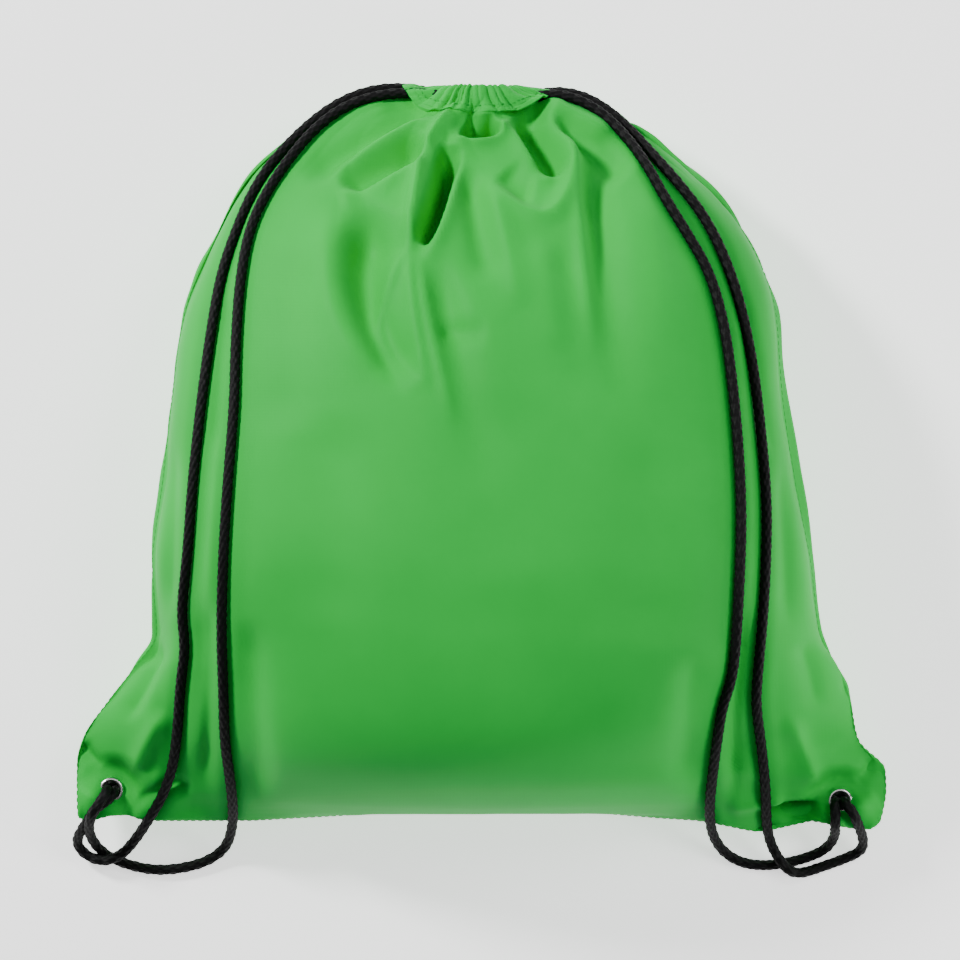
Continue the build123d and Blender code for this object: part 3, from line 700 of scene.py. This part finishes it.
def closed_tube(name, line, radius, material, around=16):
    """A braid that closes on itself."""
    line = np.vstack([line, line[:1]])
    fine, s = resample(line, 0.45)
    fine = fine[:-1]
    tangent = np.roll(fine, -1, 0) - np.roll(fine, 1, 0)
    tangent /= np.linalg.norm(tangent, axis=1)[:, None]
    n1 = np.cross(tangent, (0.0, 0.0, 1.0))
    n1 /= np.linalg.norm(n1, axis=1)[:, None]
    n2 = np.cross(tangent, n1)
    phi = np.linspace(0, 2 * math.pi, around, endpoint=False)[None, :]
    r = radius * (0.88 + 0.14 * braid_bump(phi, s[:-1]))
    verts = rings(fine, n1, n2, phi, r)
    a = np.arange(len(fine) * around).reshape(len(fine), around)
    b = np.roll(a, -1, 1)
    faces = np.stack([a, b, np.roll(b, -1, 0), np.roll(a, -1, 0)], -1).reshape(-1, 4)
    return mesh_object(name, verts.reshape(-1, 3), faces, material)


def tail(name, start, heading, length, body):
    """A cut cord end that leaves the knot and bends a little to one side."""
    d = np.array([math.cos(math.radians(heading)), math.sin(math.radians(heading)), 0.0])
    e = np.array([math.cos(math.radians(heading + 25)), math.sin(math.radians(heading + 25)), 0.0])
    a = np.array([*start, 12.2]) + d * 1.0
    b = a + d * (length * 0.5 + 2)
    c = b + e * length * 0.5
    t = np.linspace(0, 1, 24)[:, None]
    line = (1 - t) ** 2 * a + 2 * t * (1 - t) * b + t ** 2 * c
    total = resample(line, 0.5)[1][-1]

    def radius(s):
        return 1.95 - 0.9 * np.clip((s - (total - 1.6)) / 1.6, 0, 1) ** 2
    obj, _ = braided_tube(name, line, CORD, radius, around=24)
    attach(obj, body)
    return obj


for side, place, first in (("left", LEFT_EYE, 60), ("right", RIGHT_EYE, 95)):
    eyelet(side, place)
    body = side + "_knot"
    knot = closed_tube(side + "_overhand_knot", knot_line(place), 2.05, CORD)
    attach(knot, body)
    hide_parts(body)
    for k, dx in enumerate((-1.55, 1.55)):
        x, y = place[0] + dx, place[1]
        upright = np.array([(x, y, 10.5), (x, y, 14), (x, y, 19.6)])
        stub, _ = braided_tube(f"{side}_squeezed_end_{k + 1}", upright, CORD, 1.62, around=20)
        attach(stub, body)
    for letter, heading, length in (("a", first, 15), ("b", first + 95, 13)):
        obj = tail(f"{side}_cut_end_{letter}", place, heading, length, body)
        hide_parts(f"{side}_tail_{letter}")
    for strand in ("inner", "outer"):
        tube, pts, total = EXITS[f"{side}_{strand}"]


# ---------------------------------------------------------------- cord inside the channels
def channel_cord(side):
    """Three quarters of an oval round the mouth."""
    count, centre_x, centre_z, half_width, half_height = 120, -1, 31, 15.5, 12.5
    start, y = (225, 154.6) if side == "left" else (45, 149.8)
    a = math.radians(start) + np.linspace(0, math.radians(270), count)
    line = np.stack([centre_x + half_width * np.cos(a), np.full(count, y),
                     centre_z + half_height * np.sin(a)], 1)
    obj, _ = braided_tube(side + "_cord_in_hem", line, CORD, CORD_R, around=24)
    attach(obj, "bag")
    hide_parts(side + "_channel_cord")


channel_cord("left")
channel_cord("right")


# ---------------------------------------------------------------- stitches
def stitches(name, line, out, node, pitch=2.6, length=1.8, radius=0.28):
    """A row of short thread capsules that sit on the cloth."""
    pts, s = resample(line, pitch)
    verts, faces = [], []
    ring = np.linspace(0, 2 * math.pi, 6, endpoint=False)
    for k in range(len(pts) - 1):
        d = pts[k + 1] - pts[k]
        d = d / np.linalg.norm(d)
        o = out[min(int(k * len(out) / len(pts)), len(out) - 1)]
        o = o / np.linalg.norm(o)
        side = np.cross(d, o)
        base = len(verts)
        for f, r in ((0, 0.3), (0.12, 0.9), (0.5, 1.0), (0.88, 0.9), (1, 0.3)):
            c = pts[k] + d * length * f + o * (0.05 + 0.12 * math.sin(math.pi * f))
            verts += [c + radius * r * (math.cos(a) * o + math.sin(a) * side) for a in ring]
        for j in range(4):
            for i in range(6):
                a, b = base + j * 6 + i, base + j * 6 + (i + 1) % 6
                faces.append((a, b, b + 6, a + 6))
        faces.append(tuple(base + i for i in range(5, -1, -1)))
        faces.append(tuple(base + 24 + i for i in range(6)))
    obj = mesh_object(name, np.array(verts), faces, THREAD)
    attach(obj, "bag")
    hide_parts(node)


def nearest_row(t):
    return int(np.argmin(np.abs(T - t)))


hem = nearest_row(HEM_STITCH_ROW)
for name, grid in (("front", front_grid), ("back", back_grid)):
    out = outward_normals(grid, name == "front")[hem, 4:-4]
    stitches(name + "_hem_stitches", grid[hem, 4:-4], out, name + "_hem_stitching", pitch=2.2, length=1.5)
lo, hi = nearest_row(SEAM_ROWS[0]), nearest_row(SEAM_ROWS[1])
for name, col, sign in (("left", -1, -1), ("right", 0, 1)):
    line = front_grid[lo:hi, col]
    out = np.tile(np.array([sign * 0.45, 0.0, -0.9]), (len(line), 1))
    stitches(name + "_seam_stitches", line, out, name + "_seam_stitching", pitch=3.0, length=2.0, radius=0.22)
out = np.tile(np.array([0.0, -0.3, -1.0]), (HALF_COLS, 1))
stitches("bottom_seam_stitches", front_grid[0, 3:-3], out, "bottom_seam_stitching",
         pitch=3.0, length=2.0, radius=0.22)
for name, col in (("left", -1), ("right", 0)):
    c = front_grid[nearest_row(SLOT_ROW), col]
    line = np.array([c + (0, 0, -2.6), c + (0, 0, 2.6)])
    out = np.array([[0.3 if col == 0 else -0.3, 1.0, 0.0]] * 2)
    stitches(name + "_bartack_stitches", line, out, name + "_slot_bartack",
             pitch=0.7, length=0.6, radius=0.45)

# ---------------------------------------------------------------- floor and light
FLOOR_EDGE = 3000
corners = [(x * FLOOR_EDGE, y * FLOOR_EDGE, 0) for x, y in ((-1, -1), (1, -1), (1, 1), (-1, 1))]
floor = mesh_object("floor", corners, [(0, 1, 2, 3)], None, False)
m, _, b = new_material("floor")
b.inputs["Base Color"].default_value = (0.93, 0.93, 0.93, 1)
b.inputs["Roughness"].default_value = 0.9
b.inputs["Emission Color"].default_value = (1, 1, 1, 1)
b.inputs["Emission Strength"].default_value = 1.2
floor.data.materials.append(m)


def area_light(name, place, target, size, power):
    """A round lamp that faces its target."""
    data = bpy.data.lights.new(name, "AREA")
    data.shape = "DISK"
    data.size, data.energy = size, power
    obj = link(bpy.data.objects.new(name, data))
    obj.location = place
    obj.rotation_euler = (Vector(target) - Vector(place)).to_track_quat("-Z", "Y").to_euler()


area_light("key", (-1.2, 0.95, 1.15), (0, 0.02, 0.05), 0.34, 46)
area_light("fill", (0.9, 0.7, 1.5), (0.1, -0.1, 0.02), 0.7, 9)
area_light("side", (0.62, -0.22, 0.32), (0.15, -0.11, 0.03), 0.25, 2.2)
area_light("top", (-0.1, 0.4, 2.3), (0, 0, 0), 1.2, 4.5)
world = bpy.data.worlds.new("world")
world.use_nodes = True
world.node_tree.nodes["Background"].inputs["Color"].default_value = (1, 1, 1, 1)
world.node_tree.nodes["Background"].inputs["Strength"].default_value = 0.12
bpy.context.scene.world = world
